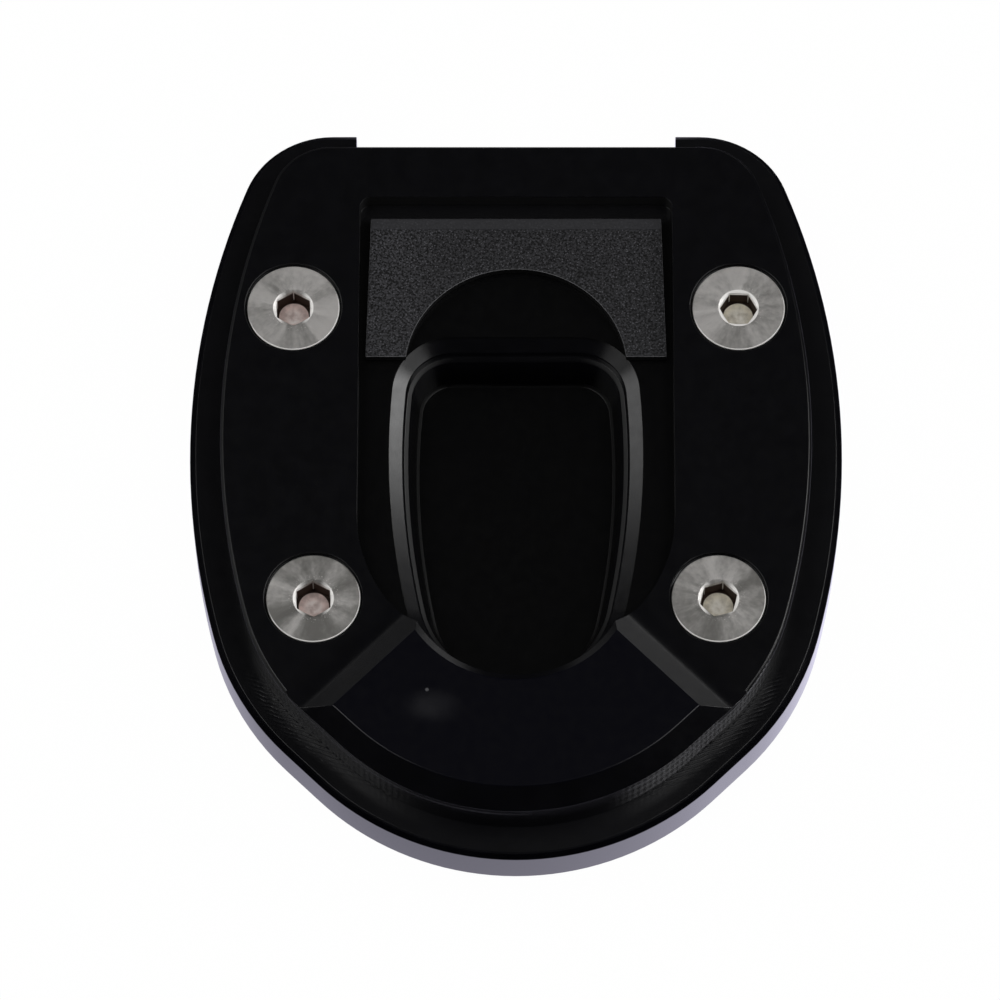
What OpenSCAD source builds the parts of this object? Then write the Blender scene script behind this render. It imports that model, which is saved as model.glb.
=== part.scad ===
// Enlarged foot for a side stand: a wide base plate, a clamping top plate that frames
// the stand's own foot, four countersunk socket screws and a soft pad.
// Millimetres. +Z is up, -Y is the front, and the origin is under the middle of the base.

/* [Outline] */
// Width of the base plate across its sides
base_w = 84.4; // [83:0.2:90]
// Length of the base plate from its front tip to its ears
base_l = 102.2; // [100:0.2:108]
// Radius of the long side curves
side_r = 104.7; // [98:0.1:112]
// How far behind the middle the plates are widest
side_y = 6.3; // [4:0.1:9]
// Radius of the two rear corners
rear_corner_r = 12; // [9:0.1:14]
// Radius of the front tip
front_r = 35.8; // [34:0.1:38]
// Angle that the front tip turns through on each side
front_turn = 44.3; // [43:0.1:46]
// Radius of the two front corners
front_corner_r = 34.9; // [30:0.1:36]

/* [Base plate] */
// Thickness of the base plate
base_t = 7; // [6.5:0.1:10]
// Chamfer along the upper edge of the base plate
base_chamfer = 0.8; // [0.4:0.1:1.2]
// Edge break along the lower edge of the base plate
sole_break = 0.4; // [0.2:0.1:0.8]
// Width of the open notch between the two ears
notch_w = 42.1; // [36:0.1:44]
// Length of the notch, measured from the ears
notch_l = 16; // [12:0.5:18]
// Radius in the inner corners of the notch
notch_r = 3; // [1.5:0.5:5]
// Depth of the pocket that takes the stand's own foot
pocket_depth = 5; // [4:0.1:5.5]
// How far the pocket wall is set in from the hole in the top plate
pocket_step = 0.25; // [0.1:0.05:0.5]
// Width of the chamfer along the pocket's upper edge
pocket_chamfer = 0.5; // [0.3:0.1:0.8]
// How far the pocket's wall slopes in from its rim to its floor
pocket_draft = 1.1; // [0.6:0.1:1.6]
// Radius between the pocket's wall and its floor
pocket_fillet = 0.4; // [0.2:0.1:1]

/* [Top plate] */
// Thickness of the top plate at the screws
wing_t = 4.7; // [4.5:0.1:6]
// How far the base plate stands out past the top plate
rim_w = 4.1; // [3:0.1:5]
// Fine edge break round the top plate
edge_break = 0.4; // [0.2:0.05:0.6]
// Thickness of the sunk ledge that carries the pad
ledge_t = 2.2; // [2:0.1:2.8]
// Width of the sunk ledge
ledge_w = 40.8; // [38:0.1:42]
// Width of the bridge that closes the ledge at the rear
bridge_w = 7.5; // [6:0.1:9]
// Radius in the rear corners of the ledge
ledge_corner_r = 1.5; // [0.8:0.1:3]
// Distance from the front tip of the base plate to the centre of the ledge's round end
ledge_front_back = 45.4; // [44.1:0.1:47.1]

/* [Foot opening] */
// Width of the opening where it is widest
hole_w = 32.8; // [31.6:0.1:33.4]
// Distance from the rear end of the base plate to the opening's rear edge
hole_rear_back = 30.7; // [29.5:0.1:32.5]
// Radius of the opening's two rear corners
hole_corner_r = 8; // [6:0.1:10]
// Radius of the opening's front end
hole_front_r = 14.4; // [13.8:0.1:14.8]
// Distance from the front tip of the base plate to the centre of that radius
hole_front_back = 36.3; // [35.1:0.1:38.1]
// Radius of the opening's gently bowed sides
hole_side_r = 104; // [90:1:140]
// Width of the opening's chamfer at the ledge
hole_chamfer = 1.7; // [1:0.1:1.9]
// Width of the opening's chamfer at the raised front
front_hole_chamfer = 1; // [0.5:0.1:1.4]
// Slope of the opening's and the pocket's chamfers, down from the level
hole_chamfer_slope = 35; // [30:1:42]

/* [Raised front] */
// Height of the raised front above the screw wings
rise = 3.3; // [2.8:0.1:4]
// Height of the upright wall above the wings, below the front chamfer
rise_wall = 0.8; // [0.3:0.1:1.2]
// Radius of the cove at the foot of each ramp up from a wing
cove_r = 6.4; // [4:0.1:8]
// Slope of each ramp above its cove
ramp_slope = 36; // [32:0.5:40]
// Distance from the front tip to the point that the slanted edges run towards
fan_back = 40.5; // [39.5:0.1:41.2]
// Angle of the slanted edges to the centre line
fan_angle = 45; // [43:0.5:47]

/* [Screws] */
// Thread diameter
screw_d = 6; // [5:0.5:6]
// Diameter of the countersunk head
head_d = 12; // [11:0.1:12.4]
// Length of a screw from the top of its head
screw_l = 10; // [9:0.5:11]
// Straight land at the rim of the head
head_land = 0.3; // [0.2:0.1:0.4]
// How far the heads sit below the wings
head_sink = 0.2; // [0.1:0.1:0.4]
// Hexagon socket across its flats
socket_af = 4.3; // [3.8:0.1:4.4]
// Depth of the hexagon socket
socket_depth = 2.8; // [2:0.1:3]
// Depth of the drilled point under the socket
socket_point = 0.6; // [0.3:0.1:0.8]
// How far the socket's countersink reaches past its corners
socket_lip = 0.06; // [0.02:0.02:0.2]
// Clearance round a head's cone
cone_clear = 0.05; // [0.03:0.01:0.1]
// Width of the open ring round a head
head_ring = 0.3; // [0.15:0.05:0.4]
// Clearance round the shank in the top plate, on the diameter
shank_clear = 0.6; // [0.3:0.1:0.8]
// Clearance round the thread in the base plate, on the diameter
thread_clear = 0.1; // [0.05:0.05:0.2]
// How far the rear screws stand in from the middle of the wings
rear_screw_in = 0.35; // [0:0.05:0.8]
// Distance of the rear screws from the rear end of the base plate
rear_screw_back = 27.6; // [25.1:0.1:31.1]
// How far the front screws stand in from the middle of the wings
front_screw_in = 3.45; // [2.8:0.05:4.2]
// Distance of the front screws from the front tip of the base plate
front_screw_back = 33.6; // [33.3:0.1:35.1]
// Turn of each screw: rear left, rear right, front left and front right
screw_turns = [31, 58, 32, 16]; // [0:1:59]

/* [Pad] */
// Gap between the pad's rear corners and the sides of the ledge
pad_rear_side = 1.45; // [1.2:0.05:3]
// Gap between the pad's front corners and the sides of the ledge
pad_front_side = 0.9; // [0.7:0.05:3]
// Thickness of the pad
pad_t = 1.3; // [1:0.1:2.4]
// Gap between the bridge and the pad's rear edge
pad_gap = 2.6; // [1:0.1:4]
// Length of the pad from rear to front
pad_l = 19.9; // [17:0.1:21]
// Radius of the cut-out in the pad
pad_arc_r = 14.4; // [13.6:0.1:15.2]
// Distance from the rear end of the base plate to the centre of that radius
pad_arc_back = 35.9; // [35.1:0.1:37.1]

/* [Hidden] */

// Heights of the levels, counted from the ground
wing_z = base_t + wing_t;
ledge_z = base_t + ledge_t;
fan_z = wing_z + rise;
fan_wall_z = wing_z + rise_wall;
fan_chamfer = rise - rise_wall;
pocket_z = base_t - pocket_depth;

// Level distance from a cove's foot, up its ramp, to the slanted edge
cove_rise = cove_r * (1 - cos(ramp_slope));
ramp_run = cove_r * sin(ramp_slope) + (rise - cove_rise) / tan(ramp_slope);

// Ends of the plates, and what keeps its distance from each of them
rear_y = base_l / 2;
front_y = -base_l / 2;
bridge_y = rear_y - rim_w - bridge_w;
hole_rear_y = rear_y - hole_rear_back;
hole_front_y = front_y + hole_front_back;
ledge_front_y = front_y + ledge_front_back;
fan_apex_y = front_y + fan_back;

// Screw axes, from the middle of the wing between the ledge and the top plate's edge
wing_mid_x = (ledge_w / 2 + base_w / 2 - rim_w) / 2;
rear_screw_x = wing_mid_x - rear_screw_in;
rear_screw_y = rear_y - rear_screw_back;
front_screw_x = wing_mid_x - front_screw_in;
front_screw_y = front_y + front_screw_back;

// Drops of the chamfers round the opening
chamfer_fall = tan(hole_chamfer_slope);

// Clear of every face when a cut has to run past it
past = 1;

// Points of one arc about c, from angle a0 to a1
function arc(c, r, a0, a1, n) =
    [for (i = [0:n]) let (a = a0 + (a1 - a0) * i / n) c + r * [cos(a), sin(a)]];

// The same points on the other side of the centre line, in the reverse order
function mirrored(pts) = [for (i = [len(pts) - 1:-1:0]) [-pts[i][0], pts[i][1]]];

// Centres of the plate's tangent arcs, on the right-hand side
side_c = [base_w / 2 - side_r, side_y];
rear_c = let (dy = rear_y - rear_corner_r - side_y, reach = side_r - rear_corner_r)
    side_c + [sqrt(reach * reach - dy * dy), dy];
front_c = [0, front_y + front_r];
front_out = [sin(front_turn), -cos(front_turn)];
front_along = [cos(front_turn), sin(front_turn)];
corner_c = let (
        start = front_c + (front_r - front_corner_r) * front_out,
        from_side = start - side_c,
        b = from_side * front_along,
        reach = side_r - front_corner_r
    ) start + (sqrt(b * b - from_side * from_side + reach * reach) - b) * front_along;
side_a0 = atan2(corner_c[1] - side_c[1], corner_c[0] - side_c[0]);
side_a1 = atan2(rear_c[1] - side_c[1], rear_c[0] - side_c[0]);

// Right half of the plate outline, moved inwards by inset, from the tip round to the rear
function half_plate(inset) = concat(
    arc(front_c, front_r - inset, -90, front_turn - 90, 18),
    arc(corner_c, front_corner_r - inset, front_turn - 90, side_a0, 10),
    [for (i = [1:26]) let (a = side_a0 + (side_a1 - side_a0) * i / 26)
        side_c + (side_r - inset) * [cos(a), sin(a)]],
    [for (i = [1:14]) let (a = side_a1 + (90 - side_a1) * i / 14)
        rear_c + (rear_corner_r - inset) * [cos(a), sin(a)]]
);

function plate_ring(inset) = let (half = half_plate(inset), other = mirrored(half))
    concat(half, [for (i = [0:len(other) - 2]) other[i]]);

// Centres of the foot opening's tangent arcs: front end, bowed side and rear corner
hole_front_c = [0, hole_front_y];
hole_side_c = let (x = hole_w / 2 - hole_side_r, reach = hole_side_r - hole_front_r)
    [x, hole_front_y + sqrt(reach * reach - x * x)];
hole_corner_c = let (
        y = hole_rear_y - hole_corner_r,
        dy = y - hole_side_c[1],
        reach = hole_side_r - hole_corner_r
    ) [hole_side_c[0] + sqrt(reach * reach - dy * dy), y];
hole_a0 = atan2(hole_front_y - hole_side_c[1], -hole_side_c[0]);
hole_a1 = atan2(hole_corner_c[1] - hole_side_c[1], hole_corner_c[0] - hole_side_c[0]);

// Outline of the foot opening, moved inwards by inset
function half_hole(inset) = concat(
    arc(hole_front_c, hole_front_r - inset, -90, hole_a0, 16),
    [for (i = [1:12]) let (a = hole_a0 + (hole_a1 - hole_a0) * i / 12)
        hole_side_c + (hole_side_r - inset) * [cos(a), sin(a)]],
    [for (i = [1:18]) let (a = hole_a1 + (90 - hole_a1) * i / 18)
        hole_corner_c + (hole_corner_r - inset) * [cos(a), sin(a)]]
);

function hole_ring(inset) = let (half = half_hole(inset), other = mirrored(half))
    concat(half, [for (i = [0:len(other) - 2]) other[i]]);

// Closed solid through rings of points, each ring given with its height
module loft(rings) {
    n = len(rings[0][0]);
    points = [for (ring = rings) for (p = ring[0]) [p[0], p[1], ring[1]]];
    walls = [for (k = [0:len(rings) - 2]) for (i = [0:n - 1]) let (j = (i + 1) % n)
        [k * n + i, (k + 1) * n + i, (k + 1) * n + j, k * n + j]];
    floor_face = [[for (i = [0:n - 1]) i]];
    roof_face = [[for (i = [n - 1:-1:0]) (len(rings) - 1) * n + i]];
    polyhedron(points, concat(floor_face, roof_face, walls), convexity = 4);
}

// A closed plate between two heights whose edges follow [inset, height] steps
module plate_loft(steps) {
    loft([for (s = steps) [plate_ring(s[0]), s[1]]]);
}

module hole_loft(steps) {
    loft([for (s = steps) [hole_ring(s[0]), s[1]]]);
}

// Puts one copy of its children on each screw axis
module at_screws() {
    for (side = [-1, 1]) {
        translate([side * rear_screw_x, rear_screw_y, 0]) children();
        translate([side * front_screw_x, front_screw_y, 0]) children();
    }
}

// Pocket for the stand's own foot: sloped wall, rounded floor edge and chamfered rim
module pocket_cut() {
    wall = hole_chamfer + pocket_step;
    foot = wall + pocket_chamfer + pocket_draft;
    fillet_steps = [for (i = [0:3]) let (a = 90 * i / 3)
        [foot + pocket_fillet * (1 - sin(a)), pocket_z + pocket_fillet * (1 - cos(a))]];
    hole_loft(concat(fillet_steps, [
        [wall + pocket_chamfer, base_t - pocket_chamfer * chamfer_fall],
        [wall, base_t],
        [wall, base_t + past]
    ]));
}

// Open notch between the ears, with rounded inner corners
module notch_cut() {
    inner_y = rear_y - notch_l;
    translate([0, 0, -past]) linear_extrude(base_t + 2 * past) {
        translate([-notch_w / 2, inner_y + notch_r]) square([notch_w, notch_l]);
        translate([-notch_w / 2 + notch_r, inner_y]) square([notch_w - 2 * notch_r, notch_l]);
        for (side = [-1, 1])
            translate([side * (notch_w / 2 - notch_r), inner_y + notch_r])
                circle(r = notch_r, $fn = 48);
    }
}

// Wide lower plate: chamfered rim, foot pocket, rear notch and four threaded holes
module base_plate() {
    color("#17181a") difference() {
        plate_loft([
            [sole_break, 0],
            [0, sole_break],
            [0, base_t - base_chamfer],
            [base_chamfer, base_t]
        ]);
        pocket_cut();
        notch_cut();
        at_screws() translate([0, 0, -past])
            cylinder(d = screw_d + thread_clear, h = base_t + 2 * past, $fn = 64);
    }
}

// Sunk ledge round the opening: square at the bridge and round at the front
module ledge_cut() {
    straight_l = bridge_y - ledge_front_y;
    translate([0, 0, ledge_z]) linear_extrude(rise + wing_t) {
        translate([0, ledge_front_y]) circle(d = ledge_w, $fn = 128);
        translate([-ledge_w / 2, ledge_front_y]) square([ledge_w, straight_l - ledge_corner_r]);
        translate([-ledge_w / 2 + ledge_corner_r, ledge_front_y])
            square([ledge_w - 2 * ledge_corner_r, straight_l]);
        for (side = [-1, 1])
            translate([side * (ledge_w / 2 - ledge_corner_r), bridge_y - ledge_corner_r])
                circle(r = ledge_corner_r, $fn = 48);
    }
}

// Opening that frames the stand's own foot, chamfered at the ledge and at the raised front
module opening_cut() {
    hole_loft([
        [hole_chamfer, base_t - past],
        [hole_chamfer, ledge_z - hole_chamfer * chamfer_fall],
        [0, ledge_z],
        [0, fan_z - front_hole_chamfer * chamfer_fall],
        [-front_hole_chamfer, fan_z],
        [-front_hole_chamfer, fan_z + past]
    ]);
}

// Clears one wing beside the raised front, down to the wing level: it leaves a ramp up
// to the front and a cove along the ramp's foot
module wing_cut(side) {
    mirror([side < 0 ? 1 : 0, 0, 0]) translate([0, fan_apex_y, wing_z])
        rotate([0, 0, 90 - fan_angle]) translate([ramp_run, 0, 0]) {
            translate([0, 0, cove_r]) rotate([90, 0, 0])
                cylinder(r = cove_r, h = 3 * base_w, center = true, $fn = 128);
            translate([0, -1.5 * base_w, 0]) cube([base_w, 3 * base_w, 2 * cove_r]);
            translate([0, 0, cove_r]) rotate([0, ramp_slope, 0])
                translate([-base_w, -1.5 * base_w, -cove_r])
                    cube([base_w, 3 * base_w, 2 * cove_r]);
        }
}

// Wedge of the plate that lies between the feet of the two coves
module fan_wedge() {
    apex_y = fan_apex_y + ramp_run / sin(fan_angle);
    reach = base_l;
    polygon([
        [0, apex_y],
        [-reach * tan(fan_angle), apex_y - reach],
        [reach * tan(fan_angle), apex_y - reach]
    ]);
}

// Raised front: it rises from the wings on two ramps and has a chamfered front edge
module raised_front() {
    difference() {
        intersection() {
            plate_loft([
                [rim_w, base_t + edge_break],
                [rim_w, fan_wall_z],
                [rim_w + fan_chamfer, fan_z]
            ]);
            translate([0, 0, base_t + edge_break]) linear_extrude(wing_t + rise)
                fan_wedge();
        }
        wing_cut(1);
        wing_cut(-1);
    }
}

// One countersunk seat and its clearance hole, drawn from the wing level down
module screw_seat() {
    seat_d = head_d + 2 * cone_clear;
    rim_depth = head_sink + head_land;
    cone_h = (seat_d - screw_d - shank_clear) / 2;
    translate([0, 0, wing_z - rim_depth])
        cylinder(d = head_d + 2 * head_ring, h = rim_depth + past, $fn = 96);
    translate([0, 0, wing_z - rim_depth - cone_h])
        cylinder(d1 = screw_d + shank_clear, d2 = seat_d, h = cone_h, $fn = 96);
    translate([0, 0, base_t - past])
        cylinder(d = screw_d + shank_clear, h = wing_t, $fn = 64);
}

// Clamping upper plate: screw wings, rear bridge, sunk ledge and raised front
module top_plate() {
    color("#1b1c1e") difference() {
        union() {
            plate_loft([
                [rim_w, base_t],
                [rim_w, wing_z - edge_break],
                [rim_w + edge_break, wing_z]
            ]);
            raised_front();
        }
        ledge_cut();
        opening_cut();
        at_screws() screw_seat();
    }
}

// Soft pad on the ledge, cut out round the opening
module foam_pad() {
    pad_rear_y = bridge_y - pad_gap;
    pad_front_y = pad_rear_y - pad_l;
    rear_half = ledge_w / 2 - pad_rear_side;
    front_half = ledge_w / 2 - pad_front_side;
    color("#3a3a3c") translate([0, 0, ledge_z]) linear_extrude(pad_t) difference() {
        polygon([
            [-rear_half, pad_rear_y],
            [-front_half, pad_front_y],
            [front_half, pad_front_y],
            [rear_half, pad_rear_y]
        ]);
        translate([0, rear_y - pad_arc_back]) circle(r = pad_arc_r, $fn = 128);
    }
}

// Countersunk socket screw, drawn with the top of its head at the origin
module socket_screw() {
    cone_h = (head_d - screw_d) / 2;
    corner_d = socket_af / cos(30);
    entry_d = corner_d + 2 * socket_lip;
    tip = 0.6;
    difference() {
        union() {
            translate([0, 0, -head_land]) cylinder(d = head_d, h = head_land, $fn = 96);
            translate([0, 0, -head_land - cone_h])
                cylinder(d1 = screw_d, d2 = head_d, h = cone_h, $fn = 96);
            translate([0, 0, tip - screw_l])
                cylinder(d = screw_d, h = screw_l - tip - head_land, $fn = 64);
            translate([0, 0, -screw_l])
                cylinder(d1 = screw_d - 2 * tip, d2 = screw_d, h = tip, $fn = 64);
        }
        translate([0, 0, -socket_depth])
            cylinder(d = corner_d, h = socket_depth + past, $fn = 6);
        translate([0, 0, -socket_depth - socket_point])
            cylinder(d1 = 0, d2 = socket_af, h = socket_point, $fn = 64);
        translate([0, 0, -entry_d / 2])
            cylinder(d1 = 0, d2 = entry_d + 2 * past, h = entry_d / 2 + past, $fn = 64);
    }
}

module placed_screw(x, y, turn) {
    color("#c9c6c2") translate([x, y, wing_z - head_sink]) rotate([0, 0, turn]) socket_screw();
}

module screw_rear_left() { placed_screw(-rear_screw_x, rear_screw_y, screw_turns[0]); }
module screw_rear_right() { placed_screw(rear_screw_x, rear_screw_y, screw_turns[1]); }
module screw_front_left() { placed_screw(-front_screw_x, front_screw_y, screw_turns[2]); }
module screw_front_right() { placed_screw(front_screw_x, front_screw_y, screw_turns[3]); }

base_plate();
top_plate();
foam_pad();
screw_rear_left();
screw_rear_right();
screw_front_left();
screw_front_right();
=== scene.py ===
"""Looks of an enlarged foot for a side stand: two black anodised plates, a foam pad and
four turned steel screws, on a white table.

Lengths in the fields are millimetres. Meshes are in metres, in the part's own frame:
+Z is up, -Y is the front, and the origin is under the middle of the base plate.
"""

import logging
import math
from dataclasses import dataclass
from enum import Enum
from typing import Any, Mapping, Optional, Sequence, Union

import bmesh
import bpy
import numpy as np
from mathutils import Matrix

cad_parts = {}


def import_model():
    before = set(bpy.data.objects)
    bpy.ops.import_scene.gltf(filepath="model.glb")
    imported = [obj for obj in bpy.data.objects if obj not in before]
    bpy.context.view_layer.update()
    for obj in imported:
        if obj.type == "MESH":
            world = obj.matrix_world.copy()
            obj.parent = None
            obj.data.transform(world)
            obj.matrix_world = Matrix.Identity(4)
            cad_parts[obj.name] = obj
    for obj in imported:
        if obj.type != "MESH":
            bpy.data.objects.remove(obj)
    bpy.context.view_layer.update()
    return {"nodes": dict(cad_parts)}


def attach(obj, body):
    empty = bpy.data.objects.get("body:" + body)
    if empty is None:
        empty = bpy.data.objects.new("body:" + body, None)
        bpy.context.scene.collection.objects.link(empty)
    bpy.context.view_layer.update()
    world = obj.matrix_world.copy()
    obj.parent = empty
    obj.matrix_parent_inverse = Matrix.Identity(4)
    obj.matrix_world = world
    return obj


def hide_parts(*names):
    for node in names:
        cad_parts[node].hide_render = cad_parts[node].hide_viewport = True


MM = 0.001
TURN = 2.0 * math.pi
BODY = "root"
LOG = logging.getLogger("stand_foot")

Colour = tuple[float, float, float]
Span = tuple[float, float]
Number = Union[int, float]
Operand = Union["Term", Number]
Row = tuple[Any, Any]
Node = bpy.types.Node
Socket = bpy.types.NodeSocket
Thing = bpy.types.Object


class Part(Enum):
    """The physical pieces, by the names of their nodes."""

    BASE = "base_plate"
    TOP = "top_plate"
    PAD = "foam_pad"
    REAR_LEFT = "screw_rear_left"
    REAR_RIGHT = "screw_rear_right"
    FRONT_LEFT = "screw_front_left"
    FRONT_RIGHT = "screw_front_right"


class Slot(Enum):
    """The record's material slots."""

    BASE = "base_plate"
    TOP = "top_plate"
    PAD = "foam_pad"
    SCREWS = "screws"


@dataclass(frozen=True)
class Levels:
    """Heights of the part's faces above the ground, from the pocket's floor up."""

    pocket: float = 2.0
    rim: float = 7.0
    ledge: float = 9.2
    pad: float = 10.5
    wing: float = 11.7
    wall: float = 12.5
    front: float = 15.0


LEVELS = Levels()


# Shader formulas

SMOOTH = {"interpolation_type": "SMOOTHSTEP"}
FIRST_COLOUR, SECOND_COLOUR, MIXED_COLOUR = 6, 7, 2


class Term:
    """A number that varies over a surface. Python operators on it add Math nodes."""

    def __init__(self, shop: "Shop", socket: Socket) -> None:
        """Wraps one output socket of the shop's node tree."""
        self.shop = shop
        self.socket = socket

    def math(self, operation: str, *others: Operand) -> "Term":
        """Adds one Math node.

        Args:
            operation: Blender's name of the operation.
            others: the operands that follow this one.

        Returns:
            The node's value.
        """
        inputs = dict(enumerate((self, *others)))
        node = self.shop.node("ShaderNodeMath", {"operation": operation}, inputs)
        return Term(self.shop, node.outputs[0])

    def __add__(self, other: Operand) -> "Term":
        """Sum."""
        return self.math("ADD", other)

    __radd__ = __add__

    def __sub__(self, other: Operand) -> "Term":
        """Difference."""
        return self.math("SUBTRACT", other)

    def __rsub__(self, other: Number) -> "Term":
        """Difference with the number first."""
        return (self * -1.0) + other

    def __mul__(self, other: Operand) -> "Term":
        """Product."""
        return self.math("MULTIPLY", other)

    __rmul__ = __mul__

    def __truediv__(self, other: Operand) -> "Term":
        """Quotient."""
        return self.math("DIVIDE", other)

    def __rtruediv__(self, other: Number) -> "Term":
        """Quotient with the number first."""
        return self.math("POWER", -1.0) * other

    def __abs__(self) -> "Term":
        """Absolute value."""
        return self.math("ABSOLUTE")

    def __gt__(self, other: Operand) -> "Term":
        """1 where this is above the other, and 0 elsewhere."""
        return self.math("GREATER_THAN", other)

    def __lt__(self, other: Operand) -> "Term":
        """1 where this is below the other, and 0 elsewhere."""
        return self.math("LESS_THAN", other)

    def sin(self) -> "Term":
        """Sine, of radians."""
        return self.math("SINE")

    def root(self) -> "Term":
        """Square root."""
        return self.math("SQRT")

    def angle(self, along: "Term") -> "Term":
        """Angle of the point (along, self), in radians."""
        return self.math("ARCTAN2", along)

    def step(self, low: float, high: float) -> "Term":
        """Smooth step upwards, from 0 at low to 1 at high."""
        inputs = {"Value": self, "From Min": low, "From Max": high}
        return Term(self.shop, self.shop.node("ShaderNodeMapRange", SMOOTH, inputs).outputs[0])

    def fall(self, low: float, high: float) -> "Term":
        """Smooth step downwards, from 1 at low to 0 at high."""
        return 1.0 - self.step(low, high)

    def band(self, low: float, high: float, soft: float) -> "Term":
        """1 between low and high, with soft shoulders outside them."""
        return self.step(low - soft, low) * self.fall(high, high + soft)


def distance(across: Term, ahead: Term) -> Term:
    """Distance of the point (across, ahead) from the origin."""
    return (across * across + ahead * ahead).root()


class Shop:
    """One node tree, with the few ways this scene adds nodes to it."""

    def __init__(self, tree: bpy.types.NodeTree) -> None:
        """Empties the tree."""
        tree.nodes.clear()
        self.tree = tree

    def node(
        self,
        kind: str,
        settings: Optional[Mapping[str, Any]] = None,
        inputs: Optional[Mapping[Union[str, int], Any]] = None,
    ) -> Node:
        """Adds one node.

        Args:
            kind: Blender's type of the node.
            settings: properties that are set first.
            inputs: values, terms or sockets for its inputs, by name or number.

        Returns:
            The node.
        """
        node = self.tree.nodes.new(kind)
        for name, value in (settings or {}).items():
            setattr(node, name, value)
        for key, value in (inputs or {}).items():
            target = node.inputs[key]
            if isinstance(value, Term):
                self.tree.links.new(value.socket, target)
            elif isinstance(value, Socket):
                self.tree.links.new(value, target)
            else:
                target.default_value = value
        return node

    def place(self) -> tuple[Term, ...]:
        """The point on the piece in the part's frame, as three terms in millimetres."""
        where = self.node("ShaderNodeTexCoord").outputs["Object"]
        return self.split(where, 1.0 / MM)

    def split(self, vector: Socket, scale: float = 1.0) -> tuple[Term, ...]:
        """A vector's three numbers, each times scale."""
        parts = self.node("ShaderNodeSeparateXYZ", inputs={0: vector}).outputs
        return tuple(Term(self, part) * scale for part in parts)

    def joined(self, x: Any, y: Any, z: Any) -> Socket:
        """A vector from three terms or numbers."""
        return self.node("ShaderNodeCombineXYZ", inputs={0: x, 1: y, 2: z}).outputs[0]

    def noise(self, vector: Socket, scale: float, detail: float) -> Term:
        """Smooth noise about 0.5, with features of 1 / scale."""
        inputs = {"Vector": vector, "Scale": scale, "Detail": detail}
        return Term(self, self.node("ShaderNodeTexNoise", None, inputs).outputs[0])

    def cells(self, vector: Socket, scale: float) -> Term:
        """Distance to the nearest point of a random scatter."""
        inputs = {"Vector": vector, "Scale": scale}
        return Term(self, self.node("ShaderNodeTexVoronoi", None, inputs).outputs["Distance"])

    def between(self, share: Term, first: Any, second: Any) -> Socket:
        """Mixes two colours, sockets or four numbers: the first at share 0, the second at 1."""
        inputs = {0: share, FIRST_COLOUR: first, SECOND_COLOUR: second}
        return self.node("ShaderNodeMix", {"data_type": "RGBA"}, inputs).outputs[MIXED_COLOUR]

    def blend(self, share: Term, low: Colour, high: Colour) -> Socket:
        """Colour between low, at share 0, and high, at share 1."""
        return self.between(share, (*low, 1.0), (*high, 1.0))

    def mixed(self, share: Term, plain: Any, colour: Colour) -> Socket:
        """The socket's colour at share 0, and the given colour at share 1."""
        return self.between(share, plain, (*colour, 1.0))

    def bump(self, height: Term, depth: float = 1.0) -> Socket:
        """Normal of a relief whose height is counted in steps of depth millimetres."""
        inputs = {"Height": height, "Distance": depth * MM, "Strength": 1.0}
        return self.node("ShaderNodeBump", None, inputs).outputs[0]

    def layered(self, share: Term, under: Node, over: Node) -> Node:
        """Mixes two shaders: the one under at share 0, and the one over at share 1."""
        inputs = {0: share, 1: under.outputs[0], 2: over.outputs[0]}
        return self.node("ShaderNodeMixShader", None, inputs)

    def surface(self, shader: Node) -> None:
        """Makes a shader the material's surface."""
        self.node("ShaderNodeOutputMaterial", None, {"Surface": shader.outputs[0]})

    def principled(self, sockets: Mapping[str, Any]) -> None:
        """Makes a Principled shader with those sockets the material's surface."""
        self.surface(self.node("ShaderNodeBsdfPrincipled", None, sockets))


class Finish:
    """A material. Each finish has a name, and adds its own nodes in its dress method."""

    name: str

    def dress(self, shop: Shop) -> None:
        """Adds the finish's nodes."""
        raise NotImplementedError

    def build(self) -> bpy.types.Material:
        """Makes the material.

        Returns:
            The material, with its nodes.
        """
        material = bpy.data.materials.new(self.name)
        material.use_nodes = True
        self.dress(Shop(material.node_tree))
        return material


class Spot:
    """A point on a piece in the part's frame, as terms in millimetres."""

    def __init__(self, shop: Shop, height: Optional[Term] = None) -> None:
        """Adds the nodes that find the point.

        Args:
            shop: the material's nodes.
            height: what noise reads instead of z.
        """
        self.shop = shop
        self.x, self.y, self.z = shop.place()
        self.here = shop.joined(self.x, self.y, height or self.z)

    def noise(self, scale: float, detail: float = 2.0) -> Term:
        """Smooth noise over the piece, about 0.5."""
        return self.shop.noise(self.here, scale, detail)


# Finish of the plates


class PlateSpot(Spot):
    """A point on the plates, with the faces that it may lie on.

    Out and along are counted from the upper plate's wall round the front corners: out is
    how far the point lies outside it, and along is how far round it. Right runs from 0 to
    1 over the middle of the part.
    """

    def __init__(self, shop: Shop, finish: "BlackAnodised") -> None:
        """Adds the nodes that find the point.

        Args:
            shop: the material's nodes.
            finish: it says where that wall's arc and the middle are.
        """
        super().__init__(shop)
        self.side = abs(self.x)
        across, ahead = self.side - finish.corner[0], self.y - finish.corner[1]
        self.out = distance(across, ahead) - finish.wall_r
        self.along = ahead.angle(across) * finish.wall_r
        self.right = self.x.step(*finish.middle)
        self.rim = self.z.band(LEVELS.rim - 0.2, LEVELS.rim + 0.2, 0.05)
        self.sunk = self.z.band(LEVELS.ledge - 0.1, LEVELS.ledge + 0.1, 0.05)
        self.raised = self.z.step(LEVELS.front - 0.2, LEVELS.front - 0.05)

    def leaning(self, left: float) -> Term:
        """1 on the right-hand side, and the given share on the left."""
        return self.right * (1.0 - left) + left


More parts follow.
